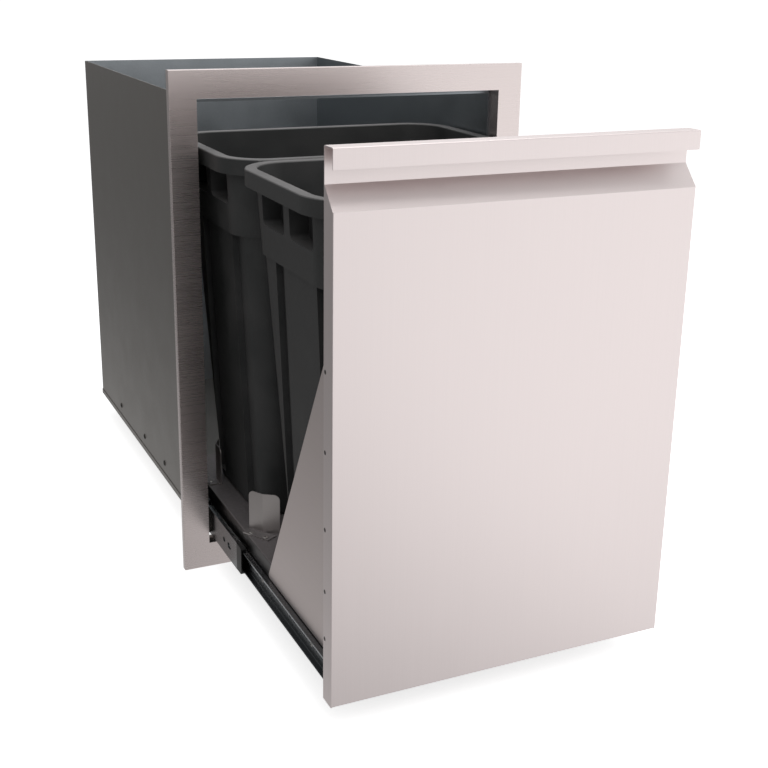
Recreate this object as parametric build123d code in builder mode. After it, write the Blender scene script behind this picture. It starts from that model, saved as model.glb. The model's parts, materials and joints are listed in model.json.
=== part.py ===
"""Built-in pull-out waste drawer with two bins, modelled with the drawer part open.

X runs to the right, Y to the back and Z up.  The origin is the middle of the face that the
frame's bottom rail bears on the cabinet with.  Lengths are in millimetres, angles in degrees.
"""
import os
from math import cos, radians, sin, tan

from build123d import *

os.makedirs("parts", exist_ok=True)

# ---------------------------------------------------------------- driving dimensions
# Face frame: a pressed picture frame with a folded jamb round its opening
frame_width = 508.0
frame_height = 686.0
rail_width = 36.0
frame_depth = 9.5            # front face to the plane that bears on the cabinet
frame_sheet = 1.2
bearing_lip = 12.0           # edge folded in behind the rails
jamb_depth = 24.0            # front face to the rear edge of the jamb
frame_arris = 0.8            # rounding of the frame's outer front edges

# Housing: an open-topped sleeve welded behind the jamb
housing_sheet = 1.0
housing_inset = 1.5          # walls stand this far inside the jamb
housing_drop = 2.5           # wall tops below the top of the opening
housing_rise = 4.0           # underside above the bottom of the opening
housing_depth = 674.0        # frame's front face to the housing's back
front_flange = 10.0          # walls' front edges folded outwards
floor_flange = 8.0           # floor's edges folded up outside the walls
top_rail_depth = 22.0
top_rail_fold = 16.0

# Drawer front: folded skin with a handle channel, closed behind by a liner
reveal = 1.25                # gap all round the front in its opening
front_thickness = 22.5
front_sheet = 1.2
handle_lip = 21.2            # height of the turned-down grip
handle_wall = 38.5           # top of the front to the top of the slope
slope_rise = 24.0
liner_sheet = 1.0
liner_flange = 14.0
liner_play = 0.3             # liner inside the skin's side returns
handle_arris = 1.0

# Telescopic slides
slide_length = 610.0
slide_setback = 3.0          # front ends behind the jamb
slide_height = 46.0
slide_width = 12.7
slide_axis = 25.0            # slide's middle above the housing's underside
slide_sheet = 1.2
middle_height = 39.0
middle_gap = 1.1             # between the outer and the middle web
inner_lip = 4.6              # inner member's free edges from the housing wall
lip_clearance = 0.8          # outer member's lips to the gussets
end_block_length = 18.0
end_block_wall = 1.5
end_block_play = 0.5         # round the inner member and inside the outer one
ball_radius = 1.6
ball_play = 0.05
cage_sheet = 0.5
balls_per_row = 4
ball_pitch = 42.0
cage_length = 150.0
cage_margin = 0.8            # strip left beside the balls' holes

middle_slots = ((32.0, 14.0, 8.0), (54.0, 9.0, 6.0))   # place from the front end, length, height
outer_lip = 2.9              # outer member's lips turned down

# Tray and gussets
tray_top = 61.0              # tray's surface above the housing's underside
tray_sheet = 1.2
tray_flange = 52.0           # side flanges that carry the slides
tray_rear_fold = 12.0
tray_upstand = 40.0          # fastened to the liner
tray_short = 35.0            # rear edge ahead of the slides' rear ends
gusset_sheet = 1.2
gusset_length = 214.0
gusset_height = 392.0
gusset_rise = 1.5            # bottom edge above the slide's inner member
gusset_fold = 16.0
gusset_fold_height = 340.0   # above the tray
gusset_tip = 3.0             # rounding of the gusset's corners

# Bins
rim_clearance = 9.0          # rims inside the opening, each side
rim_drop = 64.7              # rims below the top of the opening
rim_depth = 286.0
rim_overhang = 12.5          # rim's edge outside the wall below it
rim_sheet = 2.6
rim_arris = 2.0              # rounding of the rim's upper edges
skirt_height = 20.0
rim_corner = 60.0
side_draft = 24.5            # base inside the walls' tops, left and right
end_draft = 30.5             # the same, front and back
base_shift = 27.0            # base's middle ahead of the rim's middle
base_corner = 42.0
bin_wall = 2.4
bin_gap = 4.0                # between the two rims
bin_setback = 28.0           # front rim behind the liner
bin_seat = 0.3               # under each bin, on the tray
shoulder_drop = 100.0        # from the rim to where the walls step in
shoulder_step = 3.5
pocket_width = 70.0
pocket_drop = 62.5           # bottom of the hand pockets below the rim
pocket_depth = 25.0
pocket_corner = 8.0
pocket_rib = 18.0            # between the two pockets of a side
pocket_shift = 7.0           # pair's middle ahead of the rim's middle
groove_width = 26.0
groove_depth = 8.0
groove_spacing = 127.0       # between the two grooves' middles
groove_shift = 31.5          # pair's middle ahead of the rim's middle
groove_foot = 12.0           # bottom of the grooves above the base
base_edge = 6.0              # rounding between the walls and the base

# Corner guides that keep the bins in place on the tray
guide_height = 55.0
guide_sheet = 1.5
guide_leaf = 23.0
guide_bend = 27.0            # angle between the two leaves
guide_foot = 17.0
guide_foot_length = 42.0
guide_foot_past = 22.0       # of it past the bend
guide_corner = 8.0
guide_rivet_back = 9.9       # from the bend to the foot's first rivet
guide_rivet_ahead = 13.6     # from the bend to its second rivet
guide_rivet_out = 11.0       # rivets' distance from the leaf
guide_turn = 60.0            # of the middle guides' first leaf
middle_guide_clearance = 10.0  # from the middle guides' bend to the bins' base line
end_guide_clearance = 12.5
middle_guide_ahead = 21.7    # middle guides' bend ahead of the gap between the bins
end_guide_past = 5.0         # end guides' bend beside the start of the base's corner

# Fasteners
screw_shank = 2.0
screw_head = 4.6
screw_head_height = 2.2
rivet_shank = 1.6
rivet_head = 3.4
rivet_head_height = 1.1
hole_play = 0.06             # radial, round every shank
slide_screw_places = (35.0, 211.0, 334.0, 496.0)       # from the slide's front end
front_screw_drops = (229.0, 317.0, 405.0, 478.0, 535.0)  # below the front's top edge
front_screw_inset = 4.0      # from the returns' rear edge
front_screw_shank = 1.5
front_screw_head = 2.5
front_screw_length = 9.0
countersink = 82.0
inner_rivet_places = (22.0, 62.0, 230.0, 410.0, 560.0)  # from the inner member's front end
tray_rivet_inset = 18.8      # from the ends of the tray's front upstand
tray_rivet_height = 24.0                     # above the tray
gusset_rivet_places = (60.0, 160.0, 260.0, 345.0)      # above the gusset's bottom edge
rivet_tail = 0.9             # shank past the last sheet

# Position in which the drawer is modelled
open_by = 442.0              # the drawer front's travel from closed
middle_out = 153.0           # the middle slide members' travel from closed

# ---------------------------------------------------------------- places that follow
opening_width = frame_width - 2 * rail_width
opening_height = frame_height - 2 * rail_width
face_y = -frame_depth
jamb_y = face_y + jamb_depth
back_y = face_y + housing_depth
bottom_z = -bearing_lip / 2
middle_z = bottom_z + frame_height / 2
opening_bottom = bottom_z + rail_width
opening_top = opening_bottom + opening_height

wall_outside = opening_width / 2 - housing_inset
wall_inside = wall_outside - housing_sheet
floor_z = opening_bottom + housing_rise
wall_top = opening_top - housing_drop

slide_z = floor_z + slide_axis
slide_y = jamb_y + slide_setback
middle_y = slide_y + end_block_length - middle_out
middle_length = slide_length - end_block_length
inner_y = slide_y - open_by
tray_half = wall_inside - slide_width

half_sheet = slide_sheet / 2
outer_line = slide_height / 2 - half_sheet
ball_x = slide_width / 2
outer_ball_z = slide_height / 2 - slide_sheet - ball_play - ball_radius
groove_z = outer_ball_z - ball_radius - ball_play
groove_half = ball_radius + ball_play
groove_ramp = slide_sheet / 2
shoulder_z = middle_height / 2
middle_web = slide_sheet + middle_gap
middle_lip = ball_x + groove_half + slide_sheet
inner_ball_z = groove_z - slide_sheet - ball_play - ball_radius
inner_half = inner_ball_z - ball_radius - ball_play
inner_web = slide_width - half_sheet
lip_line = slide_width - slide_sheet - half_sheet - lip_clearance

front_y = face_y - open_by
front_back = front_y + front_thickness
front_width = opening_width - 2 * reveal
front_height = opening_height - 2 * reveal
front_bottom = opening_bottom + reveal
front_top = front_bottom + front_height
slope_top = front_top - handle_wall
slope_bottom = slope_top - slope_rise

tray_z = floor_z + tray_top
tray_rear = slide_y + slide_length - open_by - tray_short
rim_z = opening_top - rim_drop
bin_height = rim_z - bin_seat - tray_z
rim_width = opening_width - 2 * rim_clearance
base_width = rim_width - 2 * (rim_overhang + side_draft)
base_depth = rim_depth - 2 * (rim_overhang + end_draft)
front_bin_y = front_back + bin_setback + rim_depth / 2
rear_bin_y = front_bin_y + rim_depth + bin_gap
upstand_half = tray_half - gusset_fold - rail_width / 2


# ---------------------------------------------------------------- shared shapes
def facing(y, z=0.0, x=0.0):
    """A plane across the drawer, seen from the front; its sketches extrude to the back with -."""
    return Plane(origin=(x, y, z), x_dir=(1, 0, 0), z_dir=(0, -1, 0))


def sideways(x, y=0.0, z=0.0):
    """A plane along the drawer, with sketch x to the back and sketch y up."""
    return Plane(origin=(x, y, z), x_dir=(0, 1, 0), z_dir=(1, 0, 0))


def ring(width, height, thickness):
    """Sketch a picture-frame ring whose outer size is width by height."""
    Rectangle(width, height)
    Rectangle(width - 2 * thickness, height - 2 * thickness, mode=Mode.SUBTRACT)


def bent_strip(points, thickness, radius):
    """Sketch sheet of one thickness whose middle line follows the points, bent with one radius."""
    with BuildLine() as path:
        FilletPolyline(*points, radius=radius)
    trace(path.edges(), line_width=thickness)


def save(part, label):
    """Label a finished piece and write it as its own STEP file."""
    part.label = label
    export_step(part, f"parts/{label}.step")


def mirrored(part):
    """The opposite hand of a left-hand piece."""
    return mirror(part, about=Plane.YZ)


def save_pair(part, name):
    """Write a left-hand piece and its mirror image."""
    save(part, f"{name}_left")
    save(mirrored(part), f"{name}_right")


def headed_pins(places, direction, shank, shank_length, head, head_height):
    """Screws or rivets as separate solids: the head's flat face lies at each place."""
    pins = []
    for place in places:
        seat = Plane(origin=place, z_dir=direction)
        with BuildPart() as pin:
            with BuildSketch(seat):
                Circle(head)
            extrude(amount=head_height)
            crown = pin.faces().sort_by(Axis(place, direction))[-1]
            fillet(crown.edges(), radius=head_height * 0.8)
            with BuildSketch(seat):
                Circle(shank)
            extrude(amount=-shank_length)
        pins.append(pin.part)
    return Compound(children=pins)


# ---------------------------------------------------------------- face frame
with BuildPart() as face_frame:
    with BuildSketch(facing(face_y, middle_z)):
        ring(frame_width, frame_height, rail_width)
    extrude(amount=-frame_sheet)
    with BuildSketch(facing(face_y, middle_z)):
        ring(frame_width, frame_height, frame_sheet)
    extrude(amount=-frame_depth)
    with BuildSketch(facing(-frame_sheet, middle_z)):
        ring(frame_width, frame_height, bearing_lip)
    extrude(amount=-frame_sheet)
    with BuildSketch(facing(face_y, middle_z)):
        ring(opening_width + 2 * frame_sheet, opening_height + 2 * frame_sheet, frame_sheet)
    extrude(amount=-jamb_depth)
    front_edges = face_frame.edges().filter_by(Plane.XZ).group_by(Axis.Y)[0].sort_by(Edge.length)
    outline = [edge for edge in front_edges if edge.length > opening_height]
    outline += [edge for edge in front_edges if abs(edge.length - frame_width) < frame_sheet]
    fillet(outline, radius=frame_arris)
save(face_frame.part, "face_frame")

# ---------------------------------------------------------------- housing
wall_height = wall_top - floor_z - housing_sheet
wall_middle = floor_z + housing_sheet + wall_height / 2
wall_length = back_y - jamb_y - housing_sheet
screw_places = [(slide_y + place, slide_z) for place in slide_screw_places]

with BuildPart() as side_wall:
    with BuildSketch(sideways(-wall_outside)):
        with Locations((jamb_y + wall_length / 2, wall_middle)):
            Rectangle(wall_length, wall_height)
        with Locations(*screw_places):
            Circle(screw_shank + hole_play, mode=Mode.SUBTRACT)
    extrude(amount=housing_sheet)
    with BuildSketch(facing(jamb_y, wall_middle, -wall_outside - front_flange / 2)):
        Rectangle(front_flange, wall_height)
    extrude(amount=-housing_sheet)
save_pair(side_wall.part, "housing_wall")

with BuildPart() as back_wall:
    with BuildSketch(facing(back_y, wall_middle)):
        Rectangle(2 * wall_outside, wall_height)
    extrude(amount=housing_sheet)
save(back_wall.part, "housing_back")

floor_width = 2 * (wall_outside + housing_sheet)
with BuildPart() as floor_pan:
    with BuildSketch(Plane.XY.offset(floor_z)):
        with Locations((0, (jamb_y + back_y + housing_sheet) / 2)):
            Rectangle(floor_width, back_y + housing_sheet - jamb_y)
    extrude(amount=housing_sheet)
    for side in (-1, 1):
        with BuildSketch(sideways(side * (wall_outside + housing_sheet / 2))):
            with Locations(((jamb_y + housing_sheet + back_y) / 2, floor_z + floor_flange / 2)):
                Rectangle(back_y - jamb_y - housing_sheet, floor_flange)
        extrude(amount=housing_sheet / 2, both=True)
    with BuildSketch(facing(back_y, floor_z + floor_flange / 2)):
        Rectangle(floor_width, floor_flange)
    extrude(amount=-housing_sheet)
save(floor_pan.part, "housing_floor")

with BuildPart() as top_rail:
    with BuildSketch(sideways(-wall_inside, jamb_y, wall_top)):
        bent_strip(
            [
                (top_rail_depth, -housing_sheet / 2),
                (housing_sheet / 2, -housing_sheet / 2),
                (housing_sheet / 2, -top_rail_fold),
            ],
            housing_sheet,
            housing_sheet,
        )
    extrude(amount=2 * wall_inside)
save(top_rail.part, "housing_top_rail")


# ---------------------------------------------------------------- telescopic slides
def slide_plane(y):
    """Section plane of the left slide: sketch x from the housing wall inwards, sketch y up."""
    return facing(y, slide_z, -wall_inside)


def both_halves(upper):
    """A path that starts at the top lip and runs down to its mirror image."""
    return upper + [(x, -y) for x, y in reversed(upper)]


with BuildPart() as slide_outer:
    with BuildSketch(slide_plane(slide_y)):
        bent_strip(
            both_halves(
                [
                    (lip_line, outer_line - outer_lip),
                    (lip_line, outer_line),
                    (half_sheet, outer_line),
                ]
            ),
            slide_sheet,
            slide_sheet,
        )
    extrude(amount=-slide_length)
    with BuildSketch(sideways(-wall_inside)):
        with Locations(*screw_places):
            Circle(screw_shank + hole_play)
    extrude(amount=slide_sheet, mode=Mode.SUBTRACT)
save_pair(slide_outer.part, "slide_outer")

with BuildPart() as slide_middle:
    with BuildSketch(slide_plane(middle_y)):
        with BuildLine():
            Polyline(
                (middle_web, 0),
                (middle_web, shoulder_z),
                (ball_x - groove_half, shoulder_z),
                (ball_x - groove_half + groove_ramp, groove_z),
                (ball_x + groove_half - groove_ramp, groove_z),
                (ball_x + groove_half, shoulder_z),
                (middle_lip, shoulder_z),
                (middle_lip, shoulder_z - slide_sheet),
                (ball_x + groove_half + groove_ramp, shoulder_z - slide_sheet),
                (ball_x + groove_half, groove_z - slide_sheet),
                (ball_x - groove_half, groove_z - slide_sheet),
                (ball_x - groove_half - groove_ramp, shoulder_z - slide_sheet),
                (middle_web + slide_sheet, shoulder_z - slide_sheet),
                (middle_web + slide_sheet, 0),
            )
            mirror(about=Plane.XZ)
        make_face()
    extrude(amount=-middle_length)
    with BuildSketch(sideways(-wall_inside, middle_y, slide_z)):
        for place, length, height in middle_slots:
            with Locations((place, 0)):
                SlotOverall(length, height)
    extrude(amount=ball_x, mode=Mode.SUBTRACT)
save_pair(slide_middle.part, "slide_middle")


with BuildPart() as end_block:
    block_top = shoulder_z - end_block_play
    block_inside = inner_half + end_block_play
    with BuildSketch(slide_plane(middle_y - end_block_length)):
        with Locations(((middle_web + middle_lip) / 2, 0)):
            Rectangle(middle_lip - middle_web, 2 * block_top)
        with Locations((middle_web + end_block_wall, 0)):
            Rectangle(
                slide_width, 2 * block_inside, align=(Align.MIN, Align.CENTER), mode=Mode.SUBTRACT
            )
    extrude(amount=-end_block_length)
    nose = end_block.faces().sort_by(Axis.Y)[0].edges().filter_by(Axis.X).sort_by(Axis.Z)
    chamfer([nose[0], nose[-1]], length=end_block_play * 4)
save_pair(end_block.part, "slide_end_block")

with BuildPart() as slide_inner:
    with BuildSketch(slide_plane(inner_y)):
        bent_strip(
            both_halves(
                [(inner_lip, inner_half - half_sheet), (inner_web, inner_half - half_sheet)]
            ),
            slide_sheet,
            slide_sheet,
        )
    extrude(amount=-slide_length)
    with BuildSketch(sideways(-tray_half, inner_y, slide_z)):
        with Locations(*[(place, 0) for place in inner_rivet_places]):
            Circle(rivet_shank + hole_play)
    extrude(amount=-slide_sheet, mode=Mode.SUBTRACT)
save_pair(slide_inner.part, "slide_inner")


def ball_cage(start_y, web_line, ball_z):
    """A bent strip with a row of balls held in its top and bottom flange, left hand."""
    ball_places = [start_y + cage_length / 2 + (i - (balls_per_row - 1) / 2) * ball_pitch
                   for i in range(balls_per_row)]
    with BuildPart() as strip:
        with BuildSketch(slide_plane(start_y)):
            bent_strip(
                both_halves(
                    [(ball_x + groove_half + cage_margin, ball_z), (web_line, ball_z)]
                ),
                cage_sheet,
                cage_sheet,
            )
        extrude(amount=-cage_length)
        with BuildSketch(Plane.XY.offset(slide_z)):
            with Locations(*[(ball_x - wall_inside, y) for y in ball_places]):
                Circle(ball_radius + ball_play)
        extrude(amount=slide_height, both=True, mode=Mode.SUBTRACT)
    balls = []
    for y in ball_places:
        for side in (-1, 1):
            with BuildPart(Plane(origin=(ball_x - wall_inside, y, slide_z + side * ball_z))) as ball:
                Sphere(ball_radius)
            balls.append(ball.part)
    return Compound(children=[strip.part] + balls)


stage_travel = slide_length / 2
outer_cage_y = slide_y + stage_travel / 2 + cage_sheet - middle_out / 2
inner_cage_y = middle_y + stage_travel / 2 + cage_sheet - (open_by - middle_out) / 2
outer_cage_web = slide_sheet + middle_gap / 2
inner_cage_web = (middle_web + slide_sheet + inner_lip) / 2
save_pair(ball_cage(outer_cage_y, outer_cage_web, outer_ball_z), "ball_cage_outer")
save_pair(ball_cage(inner_cage_y, inner_cage_web, inner_ball_z), "ball_cage_inner")

# ---------------------------------------------------------------- drawer front
half_front = front_sheet / 2
front_screws = [
    (front_back - front_screw_inset, front_top - drop) for drop in front_screw_drops
]

with BuildPart() as front_skin:
    with BuildSketch(sideways(-front_width / 2, front_y, front_bottom)):
        bent_strip(
            [
                (front_thickness, half_front),
                (half_front, half_front),
                (half_front, slope_bottom - front_bottom),
                (front_thickness - half_front, slope_top - front_bottom),
                (front_thickness - half_front, front_height - half_front),
                (half_front, front_height - half_front),
                (half_front, front_height - handle_lip),
            ],
            front_sheet,
            handle_arris,
        )
    extrude(amount=front_width)
    for side in (-1, 1):
        with BuildSketch(sideways(side * (front_width - front_sheet) / 2, front_y, front_bottom)):
            with BuildLine():
                Polyline(
                    (0, 0),
                    (front_thickness, 0),
                    (front_thickness, slope_top - front_bottom),
                    (0, slope_bottom - front_bottom),
                    close=True,
                )
            make_face()
        extrude(amount=half_front, both=True)
    corners = front_skin.edges().filter_by(Axis.Z).group_by(Axis.Y)[0].sort_by(Axis.X)
    corners = [edge for edge in corners if edge.length > front_height / 2]
    fillet([corners[0], corners[-1]], radius=handle_arris)
    for side in (-1, 1):
        seats = [Plane(origin=(side * front_width / 2, y, z), z_dir=(side, 0, 0))
                 for y, z in front_screws]
        with Locations(*seats):
            CounterSinkHole(
                front_screw_shank + hole_play,
                front_screw_head + hole_play,
                front_thickness,
                countersink,
            )
save(front_skin.part, "drawer_front")

liner_half = front_width / 2 - front_sheet - liner_play
liner_bottom = front_bottom + front_sheet + liner_play
liner_top = slope_top - front_sheet - liner_play
liner_flange_top = slope_bottom - front_sheet
gusset_z = slide_z + inner_half + gusset_rise
gusset_x = tray_half - gusset_fold / 2
tray_rivets = [(side * (upstand_half - tray_rivet_inset), tray_z + tray_rivet_height)
               for side in (-1, 0, 1)]
gusset_rivets = [(side * gusset_x, gusset_z + rise)
                 for side in (-1, 1) for rise in gusset_rivet_places]

with BuildPart() as liner:
    with BuildSketch(facing(front_back - liner_sheet, (liner_top + liner_bottom) / 2)):
        Rectangle(2 * liner_half, liner_top - liner_bottom)
    extrude(amount=-liner_sheet)
    with BuildSketch(facing(front_back - liner_flange)):
        bent_strip(
            [
                (-liner_half + liner_sheet / 2, liner_flange_top),
                (-liner_half + liner_sheet / 2, liner_bottom + liner_sheet / 2),
                (liner_half - liner_sheet / 2, liner_bottom + liner_sheet / 2),
                (liner_half - liner_sheet / 2, liner_flange_top),
            ],
            liner_sheet,
            liner_sheet,
        )
    extrude(amount=-liner_flange)
    with BuildSketch(sideways(0)):
        with Locations(*front_screws):
            Circle(front_screw_shank + hole_play)
    extrude(amount=front_width, both=True, mode=Mode.SUBTRACT)
    with BuildSketch(facing(front_back)):
        with Locations(*tray_rivets, *gusset_rivets):
            Circle(rivet_shank + hole_play)
    extrude(amount=liner_sheet, mode=Mode.SUBTRACT)
save(liner.part, "drawer_liner")


def front_screw_row():
    """The countersunk screws in the left return of the drawer front, as separate solids."""
    cone = (front_screw_head - front_screw_shank) / tan(radians(countersink / 2))
    screws = []
    for y, z in front_screws:
        head_face = Plane(origin=(-front_width / 2, y, z), x_dir=(1, 0, 0), z_dir=(0, -1, 0))
        with BuildPart() as screw:
            with BuildSketch(head_face):
                with BuildLine() as outline:
                    Polyline(
                        (0, 0),
                        (0, front_screw_head),
                        (cone, front_screw_shank),
                        (front_screw_length, front_screw_shank),
                        (front_screw_length, 0),
                        close=True,
                    )
                make_face(outline.edges())
            revolve(axis=Axis((0, y, z), (1, 0, 0)))
        screws.append(screw.part)
    return Compound(children=screws)


save_pair(front_screw_row(), "front_screws")

# ---------------------------------------------------------------- gussets and tray
with BuildPart() as gusset:
    with BuildSketch(sideways(-tray_half - gusset_sheet, front_back, gusset_z)) as outline:
        with BuildLine():
            Polyline((0, 0), (gusset_length, 0), (0, gusset_height), close=True)
        make_face()
        fillet(outline.vertices().sort_by(Axis.X)[-1], gusset_tip)
    extrude(amount=gusset_sheet)
    with BuildSketch(facing(front_back, tray_z + gusset_rise, -tray_half - gusset_sheet)):
        Rectangle(
            gusset_fold + gusset_sheet,
            gusset_fold_height,
            align=(Align.MIN, Align.MIN),
        )
    extrude(amount=-gusset_sheet)
    with BuildSketch(facing(front_back)):
        with Locations(*gusset_rivets):
            Circle(rivet_shank + hole_play)
    extrude(amount=-gusset_sheet, mode=Mode.SUBTRACT)
save_pair(gusset.part, "gusset")

middle_guide_x = base_width / 2 + middle_guide_clearance
middle_guide_y = (front_bin_y + rear_bin_y) / 2 - middle_guide_ahead
end_guide_x = base_width / 2 + end_guide_clearance
end_guide_reach = base_depth / 2 - base_corner - end_guide_past
front_guide_y = front_bin_y - base_shift - end_guide_reach
rear_guide_y = rear_bin_y - base_shift + end_guide_reach
guide_places = [
    (-middle_guide_x, middle_guide_y, -guide_turn),
    (-end_guide_x, front_guide_y, -90),
    (end_guide_x, rear_guide_y, 90),
]
guide_rivets = [(-guide_rivet_back, -guide_rivet_out), (guide_rivet_ahead, -guide_rivet_out)]


def guide_plane(place, z):
    """Plane of a guide's foot: sketch x from the first leaf to the bend, sketch y to the bin."""
    x, y, turn = place
    ahead = (cos(radians(turn)), sin(radians(turn)), 0)
    return Plane(origin=(x, y, z), x_dir=ahead, z_dir=(0, 0, 1))


def guide_rivet_points():
    """Where the guides' rivets pass through the tray, both sides."""
    points = []
    for place in guide_places:
        for rivet in guide_rivets:
            spot = guide_plane(place, tray_z).from_local_coords(Vector(rivet))
            points += [(spot.X, spot.Y), (-spot.X, spot.Y)]
    return points


tray_line = tray_half - tray_sheet / 2
tray_length = tray_rear - front_back
with BuildPart() as tray:
    with BuildSketch(facing(front_back, tray_z)):
        bent_strip(
            [
                (-tray_line, -tray_flange),
                (-tray_line, -tray_sheet / 2),
                (tray_line, -tray_sheet / 2),
                (tray_line, -tray_flange),
            ],
            tray_sheet,
            tray_sheet,
        )
    extrude(amount=-tray_length)
    with BuildSketch(facing(front_back, tray_z - tray_sheet)):
        Rectangle(2 * upstand_half, tray_upstand, align=(Align.CENTER, Align.MIN))
    extrude(amount=-tray_sheet)
    with BuildSketch(facing(tray_rear, tray_z - tray_sheet / 2)):
        Rectangle(2 * upstand_half, tray_rear_fold, align=(Align.CENTER, Align.MAX))
    extrude(amount=tray_sheet)
    with BuildSketch(facing(front_back)):
        with Locations(*tray_rivets):
            Circle(rivet_shank + hole_play)
    extrude(amount=-tray_sheet, mode=Mode.SUBTRACT)
    with BuildSketch(Plane.XY.offset(tray_z)):
        with Locations(*guide_rivet_points()):
            Circle(rivet_shank + hole_play)
    extrude(amount=-tray_sheet, mode=Mode.SUBTRACT)
    with BuildSketch(sideways(0, inner_y, slide_z)):
        with Locations(*[(place, 0) for place in inner_rivet_places]):
            Circle(rivet_shank + hole_play)
    extrude(amount=2 * tray_half, both=True, mode=Mode.SUBTRACT)
save(tray.part, "tray")


# ---------------------------------------------------------------- corner guides
def guide_ends(place, height):
    """Round off the upper corners at both ends of a guide's bent plate, as a cutting solid."""
    turn = radians(guide_bend)
    plane = guide_plane(place, tray_z)
    ends = [((-guide_leaf, 0), (-1, 0)),
            ((guide_leaf * cos(turn), guide_leaf * sin(turn)), (cos(turn), sin(turn)))]
    with BuildPart() as cutter:
        for (along, out), (ahead, aside) in ends:
            tip = plane.from_local_coords(Vector(along, out, height))
            outward = plane.from_local_coords(Vector(ahead, aside)) - plane.origin
            corner = Plane(origin=tip, x_dir=outward, z_dir=outward.cross(Vector(0, 0, 1)))
            with BuildSketch(corner):
                with Locations((-guide_corner, -guide_corner)):
                    Rectangle(guide_corner, guide_corner, align=(Align.MIN, Align.MIN))
                    Circle(guide_corner, mode=Mode.SUBTRACT)
            extrude(amount=guide_sheet, both=True)
    return cutter.part


def bin_guide(place):
    """An upright plate bent round a bin's corner, on a foot that is riveted to the tray."""
    turn = radians(guide_bend)
    with BuildPart() as guide:
        with BuildSketch(guide_plane(place, tray_z)):
            bent_strip(
                [(-guide_leaf, 0), (0, 0), (guide_leaf * cos(turn), guide_leaf * sin(turn))],
                guide_sheet,
                guide_sheet,
            )
        extrude(amount=guide_height)
        add(guide_ends(place, guide_height), mode=Mode.SUBTRACT)
        with BuildSketch(guide_plane(place, tray_z)):
            with Locations((guide_foot_past, guide_sheet / 2)):
                Rectangle(guide_foot_length, guide_foot, align=(Align.MAX, Align.MAX))
            with Locations(*guide_rivets):
                Circle(rivet_shank + hole_play, mode=Mode.SUBTRACT)
        extrude(amount=guide_sheet)
    return guide.part


save_pair(bin_guide(guide_places[0]), "guide_middle")
save_pair(bin_guide(guide_places[1]), "guide_front")
save_pair(mirrored(bin_guide(guide_places[2])), "guide_rear")

# ---------------------------------------------------------------- fasteners
wall_screws = [(-wall_outside, y, z) for y, z in screw_places]
save_pair(
    headed_pins(
        wall_screws, (-1, 0, 0), screw_shank, housing_sheet + slide_sheet, screw_head, screw_head_height
    ),
    "slide_screws",
)
inner_rivets = [(-tray_half - slide_sheet, inner_y + place, slide_z) for place in inner_rivet_places]
save_pair(
    headed_pins(
        inner_rivets,
        (-1, 0, 0),
        rivet_shank,
        slide_sheet + tray_sheet + rivet_tail,
        rivet_head,
        rivet_head_height,
    ),
    "slide_rivets",
)
foot_rivets = [(x, y, tray_z + guide_sheet) for x, y in guide_rivet_points()]
save(
    headed_pins(
        foot_rivets,
        (0, 0, 1),
        rivet_shank,
        guide_sheet + tray_sheet + rivet_tail,
        rivet_head,
        rivet_head_height,
    ),
    "guide_rivets",
)
front_rivets = [(x, front_back + tray_sheet, z) for x, z in tray_rivets + gusset_rivets]
save(
    headed_pins(
        front_rivets,
        (0, 1, 0),
        rivet_shank,
        tray_sheet + liner_sheet + rivet_tail,
        rivet_head,
        rivet_head_height,
    ),
    "liner_rivets",
)


# ---------------------------------------------------------------- bins
wall_top_half = rim_width / 2 - rim_overhang
bin_shoulder_z = bin_height - shoulder_drop


def tapered(grow, start_z, end_z):
    """The lower walls' leaning outline, grown sideways all round, as a solid between heights."""
    inset = rim_overhang + shoulder_step
    top_width = rim_width - 2 * inset
    top_depth = rim_depth - 2 * inset
    top_corner = rim_corner - inset
    with BuildPart() as solid:
        for z in (start_z, end_z):
            share = z / bin_height
            with BuildSketch(Plane.XY.offset(z)):
                with Locations((0, (share - 1) * base_shift)):
                    RectangleRounded(
                        base_width + (top_width - base_width) * share + 2 * grow,
                        base_depth + (top_depth - base_depth) * share + 2 * grow,
                        base_corner + (top_corner - base_corner) * share + grow,
                    )
        loft(ruled=True)
    return solid.part


def pockets(depth, grow):
    """Hand pockets in the left and right walls, under the skirt."""
    height = pocket_drop - skirt_height
    with BuildPart() as blocks:
        for side in (-1, 1):
            with BuildSketch(sideways(side * (wall_top_half - depth))):
                for end in (-1, 1):
                    y = end * (pocket_width + pocket_rib) / 2 - pocket_shift
                    with Locations((y, bin_height - skirt_height - height / 2)):
                        RectangleRounded(
                            pocket_width + 2 * grow, height + 2 * grow, pocket_corner + grow
                        )
            extrude(amount=side * rim_width)
    return blocks.part


def grooves(depth, grow):
    """Upright grooves in the left and right walls, below the shoulder."""
    foot = groove_foot - grow
    height = bin_shoulder_z + grow - foot
    with BuildPart() as bars:
        with Locations(*[(side * wall_top_half, end * groove_spacing / 2 - groove_shift, foot)
                         for side in (-1, 1) for end in (-1, 1)]):
            Box(
                3 * base_corner,
                groove_width + 2 * grow,
                height,
                align=(Align.CENTER, Align.CENTER, Align.MIN),
            )
        add(tapered(-depth, 0, bin_height), mode=Mode.SUBTRACT)
    return bars.part


with BuildPart() as cavity:
    add(tapered(-bin_wall, bin_wall, bin_height + bin_wall))
    fillet(cavity.faces().sort_by(Axis.Z)[0].edges(), radius=base_edge - bin_wall)
    add(tapered(shoulder_step - bin_wall, bin_shoulder_z + bin_wall, bin_height + bin_wall))
    add(pockets(pocket_depth + bin_wall, bin_wall), mode=Mode.SUBTRACT)
    add(grooves(groove_depth + bin_wall, bin_wall), mode=Mode.SUBTRACT)

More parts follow.
